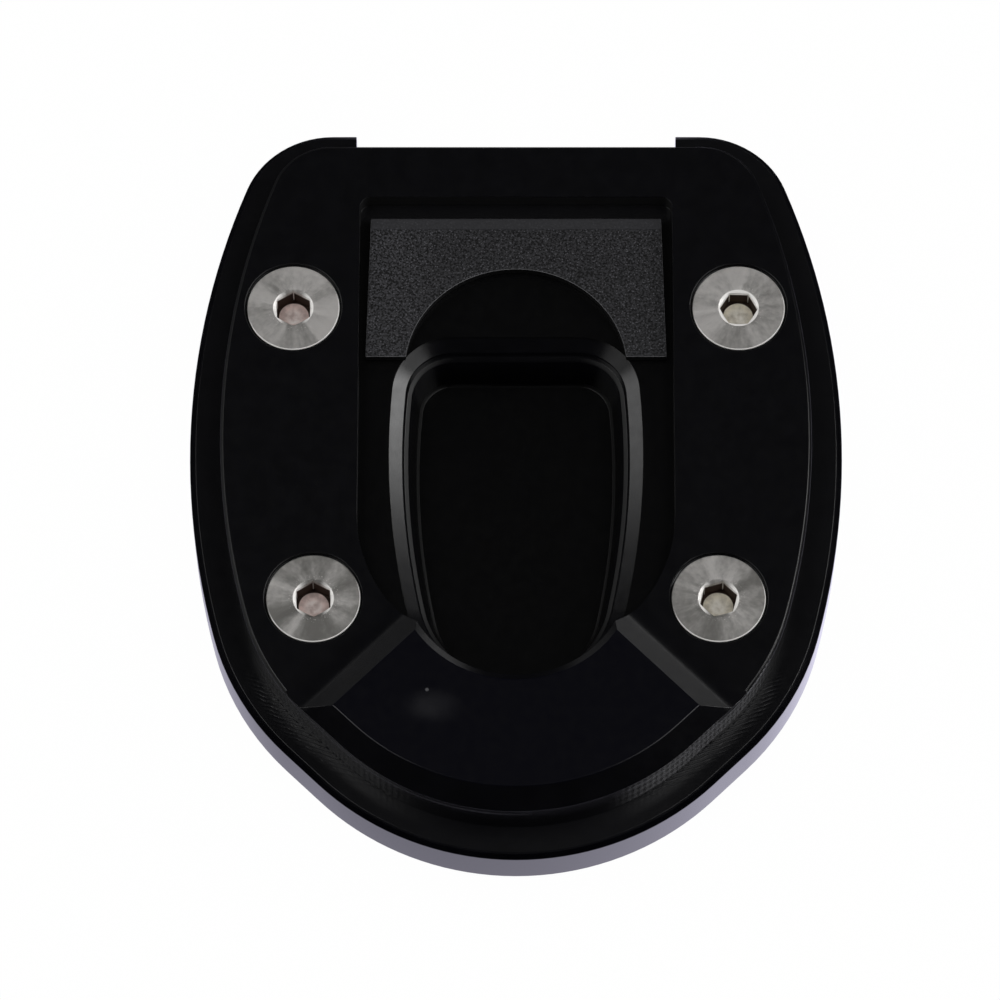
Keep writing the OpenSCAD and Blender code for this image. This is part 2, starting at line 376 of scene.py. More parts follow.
@dataclass(frozen=True)
class RimStrokes:
    """Slanted milling strokes on the rim, beside the upper plate's wall: a relief, with a
    painted highlight in their colour.
    """

    pitch: float = 0.52
    slope: float = 19.6
    crest: Span = (-0.3, 0.8)
    start: Span = (0.1, 0.3)
    end: Span = (1.0, 2.7)
    wander: float = 0.5
    wander_scale: float = 0.6
    depth: float = 0.04
    # Painted highlight of the strokes.
    tone: float = 0.14

    def cover(self, at: PlateSpot) -> Term:
        """Finds the strokes, from the clipped sine of a slanted distance.

        Smooth noise makes the distance wander. The strokes start beside the wall's foot
        and fade out across the rim.

        Args:
            at: the point on the plates.

        Returns:
            1 on a stroke, and 0 between strokes and off the rim.
        """
        slope = math.radians(self.slope)
        slanted = at.y * math.cos(slope) - at.side * math.sin(slope)
        wander = at.noise(self.wander_scale) * self.wander
        wave = ((slanted + wander) * (TURN / self.pitch)).sin().step(*self.crest)
        return wave * at.rim * at.out.step(*self.start) * at.out.fall(*self.end)


@dataclass(frozen=True)
class WallWeave:
    """Crossed milling strokes on the upright walls: a relief, and a painted highlight in their
    colour, for the light that the rough walls catch from the lamps.
    """

    pitch: float = 1.6
    rise: float = 3.2
    depth: float = 0.05
    tone: float = 1.1
    ground_tone: float = 0.15
    polish: float = 0.1
    scallop: float = 0.25
    start: Span = (-0.6, -0.4)
    front_y: Span = (-35.0, -34.0)

    def crossed(self, at: PlateSpot) -> Term:
        """Product of two sines that climb the wall either way, brought to 0 to 1."""
        turn, climb = at.along * (TURN / self.pitch), at.z * (TURN / self.rise)
        return (turn + climb).sin() * (turn - climb).sin() * 0.5 + 0.5

    def walls(self, at: PlateSpot, crossed: Term) -> Term:
        """Finds the upright walls, from a scalloped foot to just below their tops.

        Args:
            at: the point on the plates.
            crossed: the weave, which scallops the foot.

        Returns:
            1 on the wings' walls and on the front's own wall, and 0 elsewhere.
        """
        foot = (at.z - crossed * self.scallop).step(LEVELS.rim + 0.25, LEVELS.rim + 0.35)
        wing = at.z.fall(LEVELS.wing - 0.35, LEVELS.wing - 0.25)
        front = at.z.band(LEVELS.wing - 0.15, LEVELS.wall - 0.05, 0.1) * at.y.fall(*self.front_y)
        return foot * (wing + front) * at.out.step(*self.start)


@dataclass(frozen=True)
class PalePatch:
    """A soft pale oval patch on the raised front, and a small bright fleck behind it."""

    middle: Span = (-10.6, -33.7)
    stretch: float = 1.5811
    radius: Span = (0.3, 2.9)
    cloud_scale: float = 0.5
    cloud_ground: float = 0.4
    tone: float = 0.13
    fleck: Span = (-11.2, -31.5)
    fleck_radius: Span = (0.12, 0.3)

    def cover(self, at: PlateSpot) -> Term:
        """Finds the pale patch. It fades outwards and is clouded by smooth noise.

        Args:
            at: the point on the plates.

        Returns:
            How much the colour is lightened, from 0 to 1.
        """
        far = distance((at.x - self.middle[0]) / self.stretch, at.y - self.middle[1])
        cloud = at.noise(self.cloud_scale) + self.cloud_ground
        fleck = distance(at.x - self.fleck[0], at.y - self.fleck[1])
        lightened = far.fall(*self.radius) * cloud * self.tone + fleck.fall(*self.fleck_radius)
        return lightened * at.raised


@dataclass(frozen=True)
class Dullness:
    """How much duller than the open faces the fillets, brinks and the recess are."""

    fillet: float = 0.75
    fillet_side: Span = (8.0, 14.0)
    brink: float = 0.3
    brink_side: Span = (7.0, 12.0)
    pocket_side: Span = (20.0, 21.0)
    pocket_y: Span = (-34.0, 22.0)
    recess: float = 0.4
    recess_side: Span = (23.0, 24.0)
    recess_y: Span = (30.0, 34.0)
    left_edge: float = 0.2
    outer_wall: float = -0.1
    outer_low: float = 0.5

    def roughness(self, at: PlateSpot) -> Term:
        """Adds up what each place does to the roughness.

        The places are the fillet round the pocket's floor, the chamfer at its rim, the
        walls of the ledge's rear end, the left half of the wings' edge and the base
        plate's outer wall.

        Args:
            at: the point on the plates.

        Returns:
            The change of the roughness.
        """
        z, side = at.z, at.side
        pocket = side.fall(*self.pocket_side) * at.y.band(*self.pocket_y, 0.5)
        fillet = z.band(LEVELS.pocket + 0.05, LEVELS.pocket + 0.55, 0.03)
        fillet = fillet * pocket * side.step(*self.fillet_side)
        brink = z.band(LEVELS.rim - 0.45, LEVELS.rim - 0.05, 0.04)
        brink = brink * pocket * side.step(*self.brink_side)
        recess = z.band(LEVELS.ledge + 0.15, LEVELS.wing - 0.2, 0.05)
        recess = recess * side.fall(*self.recess_side) * at.y.step(*self.recess_y)
        left_edge = z.band(LEVELS.wing - 0.4, LEVELS.wing - 0.04, 0.03) * (1.0 - at.right)
        outer_wall = z.band(self.outer_low, LEVELS.rim - 0.07, 0.04) * (1.0 - pocket)
        duller = fillet * self.fillet + brink * self.brink + recess * self.recess
        return duller + left_edge * self.left_edge + outer_wall * self.outer_wall


@dataclass(frozen=True)
class BlackAnodised(Finish):
    """Milled aluminium, anodised black.

    The milling shows on the rim and on upright walls, as a relief and as a painted highlight in
    their colour. It fades towards the rear, and it is fainter on the left, the painted highlight
    most of all.
    """

    name: str = "Black_Anodised"
    low: Colour = (0.0008, 0.0008, 0.0015)
    high: Colour = (0.0014, 0.0014, 0.0023)
    # Painted shade on the ledge and in the pocket.
    recess_shade: Colour = (0.0001, 0.0001, 0.0003)
    # Painted light, paler, in the shade behind the pad.
    behind: Colour = (0.0035, 0.0035, 0.0042)
    front: Colour = (0.0005, 0.0005, 0.0025)
    # Colour of the painted light on the milled walls, the rim strokes and the rim, and of the
    # pale patch.
    pale_colour: Colour = (0.075, 0.075, 0.08)
    index: float = 1.65
    roughness: float = 0.23
    patches: float = 0.1
    patch_noise: Span = (0.8, 4.0)
    tone_noise: Span = (0.35, 3.0)
    tone_range: Span = (0.35, 0.65)
    deep_z: Span = (3.0, 7.3)
    behind_y: Span = (36.5, 37.5)
    corner: Span = (4.93, -11.75)
    wall_r: float = 30.8
    middle: Span = (-5.0, 5.0)
    milled_y: Span = (-31.0, -24.0)
    milled_side: Span = (11.0, 19.0)
    # Share of the walls' painted highlight on the left, where less light falls.
    left_tone: float = 0.12
    left_depth: float = 0.8
    # Painted sheen on the rim, stronger at the front and on the right.
    rim_sheen: float = 0.008
    rim_sheen_right: float = 0.012
    rim_sheen_front: float = 0.03
    rim_sheen_y: Span = (-46.0, -36.0)
    strokes: RimStrokes = RimStrokes()
    weave: WallWeave = WallWeave()
    pale_patch: PalePatch = PalePatch()
    dullness: Dullness = Dullness()

    def ground(self, at: PlateSpot) -> Socket:
        """Colours the faces without the painted light and the pale patch that are laid over
        them.

        The black is cloudy. It has painted shade on the ledge and in the pocket, painted light
        in the shade behind the pad, and it is bluer on the raised front.

        Args:
            at: the point on the plates.

        Returns:
            The colour.
        """
        tone = at.noise(*self.tone_noise).step(*self.tone_range)
        shop = at.shop
        colour = shop.blend(tone, self.low, self.high)
        # Painted shade on the ledge and in the pocket, and painted light in the shade behind the
        # pad.
        colour = shop.mixed(at.sunk + at.z.fall(*self.deep_z), colour, self.recess_shade)
        colour = shop.mixed(at.sunk * at.y.step(*self.behind_y), colour, self.behind)
        return shop.mixed(at.raised, colour, self.front)

    def painted_rim_sheen(self, at: PlateSpot) -> Term:
        """Painted sheen on the rim, stronger at the front and on the right."""
        front = at.y.fall(*self.rim_sheen_y) * self.rim_sheen_front
        return at.rim * (front + at.right * self.rim_sheen_right + self.rim_sheen)

    def dress(self, shop: Shop) -> None:
        """Adds the nodes, which read Object coordinates.

        Args:
            shop: the material's nodes.
        """
        at = PlateSpot(shop, self)
        flank = at.y.fall(*self.milled_y) * at.side.step(*self.milled_side)
        carved = flank * at.leaning(self.left_depth)
        strokes = self.strokes.cover(at)
        crossed = self.weave.crossed(at)
        walls = self.weave.walls(at, crossed)
        # Painted highlight on the milled walls, weaker on the left, where less light falls.
        wall_sheen = walls * flank * at.leaning(self.left_tone)
        height = carved * (strokes * self.strokes.depth + crossed * walls * self.weave.depth)
        # Painted light: the milled walls and the rim strokes are lightened where the lamps would
        # catch them, and the rim has a painted sheen; the pale patch is added too.
        lightened = wall_sheen * (crossed * self.weave.tone + self.weave.ground_tone)
        lightened = lightened + carved * strokes * self.strokes.tone
        lightened = lightened + self.pale_patch.cover(at) + self.painted_rim_sheen(at)
        patches = (at.noise(*self.patch_noise) - 0.5) * self.patches
        dull = self.dullness.roughness(at) - wall_sheen * self.weave.polish + patches
        shop.principled(
            {
                "Base Color": shop.mixed(lightened, self.ground(at), self.pale_colour),
                "Roughness": dull + self.roughness,
                "IOR": self.index,
                "Normal": shop.bump(height),
            }
        )


# Finish of the screws


class HeadSpot(Spot):
    """A point on a screw.

    Right, back and up are counted from the middle of the head's top, by the attribute
    that each screw carries. Radius and turn are the distance and the direction from there.
    """

    def __init__(self, shop: Shop, attribute: str) -> None:
        """Adds the nodes that find the point, with that attribute."""
        settings = {"attribute_name": attribute}
        place = shop.node("ShaderNodeAttribute", settings).outputs["Vector"]
        self.right, self.back, self.up = shop.split(place)
        super().__init__(shop, self.up)
        self.radius = distance(self.right, self.back)
        beyond = self.radius + 0.05
        self.turn = (self.right / beyond, self.back / beyond)


@dataclass(frozen=True)
class TurnedSteel(Finish):
    """Bare stainless steel: a turned face whose radial streaks are painted reflections in its
    colour as well as a relief, with painted highlights on its edges, and a warm socket with
    painted shade on its walls and a painted highlight on its floor.
    """

    name: str = "Turned_Steel"
    attribute: str = "head_place"
    low: Colour = (0.36, 0.35, 0.33)
    high: Colour = (1.0, 0.97, 0.94)
    # Painted shade on the socket's walls.
    wall: Colour = (0.05, 0.032, 0.025)
    # Colour of the painted highlights on the edges and on the socket's floor.
    bright: Colour = (1.0, 0.98, 0.95)
    pink: Colour = (0.95, 0.72, 0.66)
    straw: Colour = (0.98, 0.90, 0.72)
    metallic: float = 0.88
    roughness: float = 0.44
    edge_metallic: float = -0.7
    edge_roughness: float = -0.2
    streak_roughness: float = 0.16
    sector_noise: Span = (1.7, 1.0)
    sector_drift: float = 0.05
    streak_noise: Span = (9.0, 3.0)
    streak_drift: float = 0.1
    drift_apart: float = 0.03
    mottle_noise: Span = (1.3, 4.0)
    cloud_noise: Span = (0.9, 3.0)
    cloud_range: Span = (0.2, 0.8)
    shade_range: Span = (0.29, 0.69)
    face_z: Span = (-0.35, -0.25)
    ring_pitch: float = 0.16
    ring_wander: float = 9.0
    speck_noise: Span = (5.0, 2.0)
    speck_range: Span = (0.62, 0.68)
    speck_radius: Span = (2.6, 3.1)
    socket_radius: Span = (2.42, 2.48)
    socket_z: Span = (-0.9, -0.35)
    floor_radius: Span = (1.9, 1.98)
    floor_z: Span = (-2.79, -2.74)
    # Painted highlight on the socket's floor.
    glow: float = 0.8
    glow_radius: Span = (0.4, 1.7)
    middle: Span = (-5.0, 5.0)
    rear_right: Span = (0.0, 5.0)
    lip_z: Span = (-0.6, -0.03)
    lip_radius: Span = (3.2, 3.3)
    lip_side: Span = (0.3, 0.85)
    line_radius: Span = (5.86, 5.9)
    line_slope: float = 0.4
    line_side: Span = (-1.5, 1.5)

    def radial(self, at: HeadSpot, noise: Span, drift: float) -> Term:
        """Noise over the direction from the axis, so that it runs outwards as streaks.

        Args:
            at: the point on the screw.
            noise: the noise's scale and detail.
            drift: how fast the streaks change outwards.

        Returns:
            The noise, which differs from screw to screw.
        """
        level = (at.x + at.y) * self.drift_apart + at.radius * drift
        return at.shop.noise(at.shop.joined(*at.turn, level), *noise)

    def edges(self, at: HeadSpot) -> Term:
        """Finds the edges that get painted highlights.

        They are the socket's chamfer, all round on the rear right screw and at its sides
        on the others, and a hairline along the front of the head's rim.

        Args:
            at: the point on the screw.

        Returns:
            1 on such an edge, and 0 elsewhere.
        """
        whole = at.x.step(*self.rear_right) * at.y.step(*self.rear_right)
        sides = abs(at.turn[0]).step(*self.lip_side) * (1.0 - whole) + whole
        lip_highlight = at.up.band(*self.lip_z, 0.01) * at.radius.fall(*self.lip_radius) * sides
        lit = (at.right * self.line_slope - at.back).step(*self.line_side)
        return at.radius.step(*self.line_radius) * lit + lip_highlight

    def dress(self, shop: Shop) -> None:
        """Adds the nodes, which read the screws' own attribute.

        Args:
            shop: the material's nodes.
        """
        at = HeadSpot(shop, self.attribute)
        sectors = self.radial(at, self.sector_noise, self.sector_drift)
        streaks = self.radial(at, self.streak_noise, self.streak_drift)
        mottle = at.noise(*self.mottle_noise)
        # The light and dark radial sectors and streaks in the colour are painted reflections of
        # the lamps in the turned face, and the y term paints the rear screws lighter.
        shade = sectors * 0.65 + streaks * 0.2 + mottle * 0.15 + at.y * 0.003
        specks = at.noise(*self.speck_noise).step(*self.speck_range)
        specks = specks * at.radius.band(*self.speck_radius, 0.4)
        cloud = at.noise(*self.cloud_noise).step(*self.cloud_range)
        # Painted shade on the socket's walls.
        wall = at.radius.fall(*self.socket_radius) * at.up.fall(*self.socket_z)
        floor = at.radius.fall(*self.floor_radius) * at.up.fall(*self.floor_z)
        floor_colour = shop.blend(at.x.step(*self.middle), self.pink, self.straw)
        edge = self.edges(at)
        # Painted highlight on the socket's floor.
        glow = at.radius.fall(*self.glow_radius) * floor * cloud * self.glow
        colour = shop.blend(shade.step(*self.shade_range) + specks, self.low, self.high)
        colour = shop.mixed(wall, colour, self.wall)
        colour = shop.between(floor * (cloud * 0.5 + 0.5), colour, floor_colour)
        rings = (at.radius * (TURN / self.ring_pitch) + mottle * self.ring_wander).sin()
        relief = (rings * 0.5 + 0.5) * 0.008 + sectors * 0.25 + streaks * 0.02
        dull = streaks * self.streak_roughness + edge * self.edge_roughness
        shop.principled(
            {
                "Base Color": shop.mixed(edge + glow, colour, self.bright),
                "Metallic": (1.0 - floor) * self.metallic + edge * self.edge_metallic,
                "Roughness": dull + self.roughness,
                "Normal": shop.bump(relief * at.up.step(*self.face_z)),
            }
        )


# Finish of the pad


@dataclass(frozen=True)
class CellRubber(Finish):
    """Dark cellular rubber with a fine sparkling grain, smoother along its rear edge.

    The grain is paler on the left. The upper edge all round has a painted highlight, and the
    sides below the top have painted shade.
    """

    name: str = "Cell_Rubber"
    # Painted shade on the pad's sides.
    side_shade: Colour = (0.002, 0.002, 0.0025)
    high: Colour = (0.07, 0.07, 0.079)
    # Painted highlight along the pad's upper edge.
    edge_highlight: Colour = (0.2, 0.2, 0.21)
    index: float = 1.45
    roughness: float = 0.62
    strip_y: Span = (35.15, 35.45)
    strip_tone: float = 0.26
    strip_polish: float = 0.12
    strip_grain: float = 0.25
    cell_scale: float = 2.7
    cell_range: Span = (0.1, 0.3)
    grain_noise: Span = (3.6, 3.0)
    grain_range: Span = (0.38, 0.62)
    grain_tone: float = 0.32
    grain_depth: float = 0.09
    paler_x: Span = (-19.0, -7.0)
    lightened: float = 0.55
    top_tone: float = 0.02
    lip_tone: float = 0.8

    def dress(self, shop: Shop) -> None:
        """Adds the nodes, which read Object coordinates.

        Args:
            shop: the material's nodes.
        """
        at = Spot(shop)
        strip = at.y.step(*self.strip_y)
        cells = shop.cells(at.here, self.cell_scale)
        grain = at.noise(*self.grain_noise)
        rough = 1.0 - strip * (1.0 - self.strip_grain)
        lightened = at.x.fall(*self.paler_x) * self.lightened + 1.0
        sparkle = grain.step(*self.grain_range) * self.grain_tone + cells.fall(*self.cell_range)
        sparkle = sparkle * rough * lightened + strip * self.strip_tone
        # Below the top, the pad's sides get painted shade.
        top = at.z.step(LEVELS.pad - 0.25, LEVELS.pad - 0.15)
        # Painted highlight along the pad's upper edge.
        lip_highlight = at.z.band(LEVELS.pad - 0.13, LEVELS.pad - 0.045, 0.005) * self.lip_tone
        plain = shop.blend((sparkle + self.top_tone) * top, self.side_shade, self.high)
        shop.principled(
            {
                "Base Color": shop.mixed(lip_highlight, plain, self.edge_highlight),
                "Roughness": self.roughness - strip * self.strip_polish,
                "IOR": self.index,
                "Normal": shop.bump((cells * 0.7 + grain) * rough, self.grain_depth),
            }
        )


# Finish of the table


@dataclass(frozen=True)
class WhiteTable(Finish):
    """White table top, as it is for the camera, with the object's shadow.

    Reflections show it white near the part and brighter towards the right-hand lamp, and
    it falls off to the dark room beyond its edge. It is clear from below, and under the
    part, so that the underside can be seen. Near, edge, reach and contact are metres.
    """

    name: str = "White_Table"
    albedo: Colour = (0.9, 0.9, 0.9)
    seen: Colour = (1.0, 1.0, 1.0)
    share: float = 0.985
    near: float = 0.056
    edge: float = 0.072
    oval: float = 1.2042
    left_gain: float = 0.62
    right_gain: float = 0.52
    reach: float = 0.04
    mirrored_tint: Colour = (0.99, 0.96, 1.18)
    contact: float = 0.0001

    def dress(self, shop: Shop) -> None:
        """Adds the nodes: a diffuse white, mixed with a flat white for seen rays.

        Args:
            shop: the material's nodes.
        """
        path = shop.node("ShaderNodeLightPath").outputs
        camera = Term(shop, path["Is Camera Ray"])
        mirror = Term(shop, path["Is Glossy Ray"]) + Term(shop, path["Is Transmission Ray"])
        x, y, _ = shop.split(shop.node("ShaderNodeTexCoord").outputs["Object"])
        near = distance(x * self.oval, y).fall(self.near, self.edge)
        mirrored = near * (x.step(-self.reach, self.reach) * self.right_gain + self.left_gain)
        tint = shop.blend(camera, self.mirrored_tint, self.seen)
        light = {"Color": tint, "Strength": camera + mirror * mirrored}
        flat = shop.node("ShaderNodeEmission", None, light)
        matt = shop.node("ShaderNodeBsdfDiffuse", None, {"Color": (*self.albedo, 1.0)})
        white = shop.layered((camera + mirror) * self.share, matt, flat)
        below = Term(shop, shop.node("ShaderNodeNewGeometry").outputs["Backfacing"])
        touching = Term(shop, path["Ray Length"]) < self.contact
        clear = shop.node("ShaderNodeBsdfTransparent")
        shop.surface(shop.layered(below.math("MAXIMUM", touching), white, clear))


# Meshes


def placed(name: str, data: bpy.types.ID) -> Thing:
    """Makes an object and links it to the scene.

    Args:
        name: the object's name.
        data: its mesh, lamp or camera.

    Returns:
        The object, at the origin.
    """
    thing = bpy.data.objects.new(name, data)
    bpy.context.scene.collection.objects.link(thing)
    return thing


def smooth(mesh: bpy.types.Mesh) -> None:
    """Shades every face smooth."""
    mesh.polygons.foreach_set("use_smooth", np.ones(len(mesh.polygons), bool))


def read(items: Any, name: str, width: int, kind: type = int) -> np.ndarray:
    """Reads a property of all of a mesh's vertices, edges, faces or corners.

    Args:
        items: the mesh's collection.
        name: the property.
        width: how many numbers it has.
        kind: int or float.

    Returns:
        A row of numbers for each item.
    """
    values = np.empty(width * len(items), kind)
    items.foreach_get(name, values)
    return values.reshape(-1, width)


def shell(name: str, rings: np.ndarray, poles: Optional[np.ndarray] = None) -> Thing:
    """Makes a mesh from rings of points.

    Quads join each ring to the next. With poles, the first and last rings close on a point.

    Args:
        name: the object's name.
        rings: points, as rings by points round by 3, in millimetres.
        poles: two points, below the first ring and above the last.

    Returns:
        The object, linked to the scene, with its faces pointing outwards.
    """
    count, around = rings.shape[:2]
    points = rings.reshape(-1, 3)
    here = np.arange(count * around).reshape(count, around)
    right = np.roll(here, -1, axis=1)
    quads = np.stack([here[:-1], right[:-1], right[1:], here[1:]], axis=-1).reshape(-1, 4)
    faces = quads.tolist()
    if poles is not None:
        points = np.concatenate([points, poles])
        first, last = len(points) - 2, len(points) - 1
        ends = np.full(around, first), np.full(around, last)
        faces += np.stack([right[0], here[0], ends[0]], axis=-1).tolist()
        faces += np.stack([here[-1], right[-1], ends[1]], axis=-1).tolist()
    mesh = bpy.data.meshes.new(name)
    mesh.from_pydata((points * MM).tolist(), [], faces)
    smooth(mesh)
    mesh.update()
    return placed(name, mesh)


def break_edges(thing: Thing, width: float, steps: int, method: str) -> bpy.types.Modifier:
    """Rounds edges, and lets the wide faces lead the shading.

    Args:
        thing: the object.
        width: the rounding's width.
        steps: faces across it.
        method: what chooses the edges, WEIGHT or ANGLE.

    Returns:
        The Bevel modifier.
    """
    edge = thing.modifiers.new("Edge", "BEVEL")
    edge.width = width * MM
    edge.segments = steps
    edge.limit_method = method
    edge.use_clamp_overlap = False
    thing.modifiers.new("Lead", "WEIGHTED_NORMAL")
    return edge


def finish_piece(thing: Thing, material: bpy.types.Material, part: Part) -> None:
    """Gives a piece its finish and its place in the part.

    Args:
        thing: the finished object, at the origin.
        material: its finish.
        part: the node that it stands for.
    """
    thing.data.materials.clear()
    thing.data.materials.append(material)
    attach(thing, BODY)
    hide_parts(part.value)
    LOG.info("%s: %d vertices", thing.name, len(thing.data.vertices))


# Pieces


@dataclass
class Plates:
    """The two milled plates, from merged copies of their solids.

    Their edges are broken, but less round the opening and its ledge, along the rim and
    where the raised front's chamfer starts.
    """

    edge: float = 0.1
    edge_steps: int = 2
    sharp: float = 30.0
    flat: float = 0.05
    doubles: float = 0.002
    inner_share: float = 0.25
    inner_half: float = 21.5
    inner_y: Span = (-24.0, 41.0)
    crisp_z: Span = (12.0, 14.8)
    rim_share: float = 0.45
    rim_near: float = 0.1
    finish: BlackAnodised = BlackAnodised()

    def merged(self, node: Thing, name: str) -> Thing:
        """Copies a solid's mesh, merges its doubles and joins its level triangles.

        Args:
            node: the solid's object.
            name: the copy's name.

        Returns:
            The copy, smooth shaded.
        """
        mesh = node.data.copy()
        mesh.name = name
        work = bmesh.new()
        work.from_mesh(mesh)
        bmesh.ops.remove_doubles(work, verts=work.verts, dist=self.doubles * MM)
        bmesh.ops.dissolve_limit(
            work, angle_limit=math.radians(self.flat), verts=work.verts, edges=work.edges
        )
        work.to_mesh(mesh)
        work.free()
        smooth(mesh)
        return placed(name, mesh)

    def weigh_edges(self, mesh: bpy.types.Mesh) -> None:
        """Stores how far each edge is broken, as a share of the full width.

        An edge counts as sharp where the dot product of its two faces' normals is below
        the cosine of the limit.

        Args:
            mesh: the closed mesh, whose edges each have two faces.
        """
        sizes = read(mesh.polygons, "loop_total", 1)[:, 0]
        edges = read(mesh.loops, "edge_index", 1)[:, 0]
        owners = np.repeat(np.arange(len(sizes)), sizes)
        sides = owners[np.argsort(edges, kind="stable")].reshape(-1, 2)
        normals = read(mesh.polygons, "normal", 3, float)
        level = np.sum(normals[sides[:, 0]] * normals[sides[:, 1]], axis=1)
        points = read(mesh.vertices, "co", 3, float) / MM
        x, y, z = points[read(mesh.edges, "vertices", 2)].mean(axis=1).T
        inner = (np.abs(x) < self.inner_half) & (y > self.inner_y[0]) & (y < self.inner_y[1])
        inner |= (z > self.crisp_z[0]) & (z < self.crisp_z[1])
        rim = np.abs(z - LEVELS.rim) < self.rim_near
        share = np.where(inner, self.inner_share, np.where(rim, self.rim_share, 1.0))
        share[level > math.cos(math.radians(self.sharp))] = 0.0
        weight = mesh.attributes.new("bevel_weight_edge", "FLOAT", "EDGE")
        weight.data.foreach_set("value", share.astype(np.float32))

    def build(self, nodes: Mapping[str, Thing]) -> None:
        """Builds both plates.

        Args:
            nodes: the frame's objects by name.
        """
        material = self.finish.build()
        for part, slot in ((Part.BASE, Slot.BASE), (Part.TOP, Slot.TOP)):
            thing = self.merged(nodes[part.value], part.value.title())
            self.weigh_edges(thing.data)
            break_edges(thing, self.edge, self.edge_steps, "WEIGHT")
            finish_piece(thing, material, part)


@dataclass
class Screws:
    """Four countersunk socket screws, each one closed surface from tip to socket floor.

    Heights are counted from the top of the head. Turns are degrees.
    """

    head_r: float = 6.0
    rim: float = 0.14
    rim_steps: int = 5
    face_steps: int = 7
    land: float = 0.3
    shank_r: float = 2.97
    length: float = 10.0
    tip: float = 0.6
    tip_set_in: float = 0.25
    neck: float = 0.4
    pitch: float = 1.0
    thread: float = 0.5
    thread_rows: int = 90
    runout: float = 1.2
    socket_af: float = 4.3
    socket_depth: float = 2.8
    drill_depth: float = 3.4
    entry_gap: float = 0.12
    entry_slope: float = 0.58
    around: int = 120
    finish: TurnedSteel = TurnedSteel()
    turns: tuple[tuple[Part, float], ...] = (
        (Part.REAR_LEFT, 31.0),
        (Part.REAR_RIGHT, 58.0),
        (Part.FRONT_LEFT, 32.0),
        (Part.FRONT_RIGHT, 16.0),
    )

    def shank_rows(self, theta: np.ndarray) -> list[Row]:
        """Works out the shank's rings, from the tip up to the head's cone.

        The radius follows a triangle wave of height over pitch less the share of a turn,
        which is a helix. The wave is clipped to flat crests and roots, and the thread
        runs out below the head.

        Args:
            theta: the directions, as a row.

        Returns:
            Radius and height of each ring.
        """
        cone_z = self.shank_r - self.head_r - self.land
        level = np.linspace(self.tip - self.length, cone_z - self.neck, self.thread_rows)
        height = level[:, None]
        wave = np.abs(np.mod(height / self.pitch - theta / TURN, 1.0) * 2.0 - 1.0)
        ease = np.clip((cone_z - height) / self.runout, 0.0, 1.0)
        radius = self.shank_r - self.thread * np.clip(wave * 1.3 - 0.15, 0.0, 1.0) * ease
        tip_r = self.shank_r - self.thread - self.tip_set_in
        return [
            (tip_r, -self.length),
            (tip_r + 0.1, 0.1 - self.length),
            *zip(radius, level),
            (self.shank_r, cone_z),
        ]

    @property
    def entry(self) -> float:
        """Radius of the socket's mouth, a little past the hexagon's corners."""
        return self.socket_af / math.sqrt(3.0) + self.entry_gap

    def head_rows(self) -> list[Row]:
        """Works out the head's rings: its cone's top, land, rounded rim and level face.

        Returns:
            Radius and height of each ring.
        """
        arc = np.linspace(0.0, math.pi / 2.0, self.rim_steps)
        rim_r = self.head_r - self.rim * (1.0 - np.cos(arc))
        face_r = np.linspace(self.head_r - self.rim - 0.05, self.entry + 0.08, self.face_steps)
        return [
            (self.head_r - 0.02, -self.land - 0.02),
            (self.head_r, -self.land),
            *zip(rim_r, self.rim * (np.sin(arc) - 1.0)),
            *((radius, 0.0) for radius in face_r),
        ]

    def socket_rows(self, theta: np.ndarray) -> list[Row]:
        """Works out the socket's rings: its chamfer, hexagon and drilled floor.

        A side's distance is half the width across flats over the cosine of the angle to
        the nearest flat. The chamfer is a flat cone that runs into the hexagon, so its
        lower edge is deeper at the flats.

        Args:
            theta: the directions, as a row.

        Returns:
            Radius and height of each ring.
        """
        sector, flat_r = math.pi / 3.0, self.socket_af / 2.0
        hexagon = flat_r / np.cos(np.mod(theta, sector) - sector / 2.0)
        chamfer_z = (hexagon - self.entry) * self.entry_slope
        return [
            (self.entry + 0.03, -0.01),
            (self.entry, -0.04),
            (hexagon + 0.04, chamfer_z - 0.02),
            (hexagon, chamfer_z - 0.1),
            (hexagon, 0.08 - self.socket_depth),
            (hexagon - 0.05, 0.01 - self.socket_depth),
            (hexagon * 0.86, -self.socket_depth),
            (flat_r * 0.8, -self.socket_depth - 0.05),
            (flat_r * 0.5, -(self.socket_depth + self.drill_depth) / 2.0),
            (0.2, 0.05 - self.drill_depth),
        ]

    def middle_of(self, node: Thing) -> np.ndarray:
        """Finds the middle of the top of a screw's solid.

        It is rounded to a hundredth of a millimetre, because the solid's mesh is faceted.

        Args:
            node: the solid's object.

        Returns:
            The point, in millimetres.
        """
        points = read(node.data.vertices, "co", 3, float) / MM
        low, high = points.min(axis=0), points.max(axis=0)
        return np.round([*(low + high)[:2] / 2.0, high[2]], 2)

    def build(self, nodes: Mapping[str, Thing]) -> None:
        """Builds the screws, each with the attribute that its finish reads.

        Args:
            nodes: the frame's objects by name.
        """
        material = self.finish.build()
        theta = np.linspace(0.0, TURN, self.around, endpoint=False)
        rows = self.shank_rows(theta) + self.head_rows() + self.socket_rows(theta)
        radius = np.stack([np.broadcast_to(r, theta.shape) for r, _ in rows])
        height = np.stack([np.broadcast_to(h, theta.shape) for _, h in rows])
        ends = np.array([[0.0, 0.0, -self.length], [0.0, 0.0, -self.drill_depth]])
        for part, turn in self.turns:
            spin = theta + math.radians(turn)
            local = np.stack([radius * np.cos(spin), radius * np.sin(spin), height], axis=-1)
            shift = self.middle_of(nodes[part.value])
            name = part.value.title().replace("_", "")
            thing = shell(name, local + shift, ends + shift)
            places = np.concatenate([local.reshape(-1, 3), ends]).astype(np.float32)
            mark = thing.data.attributes.new(self.finish.attribute, "FLOAT_VECTOR", "POINT")
            mark.data.foreach_set("vector", places.ravel())
            thing.modifiers.new("Lead", "WEIGHTED_NORMAL")
            finish_piece(thing, material, part)


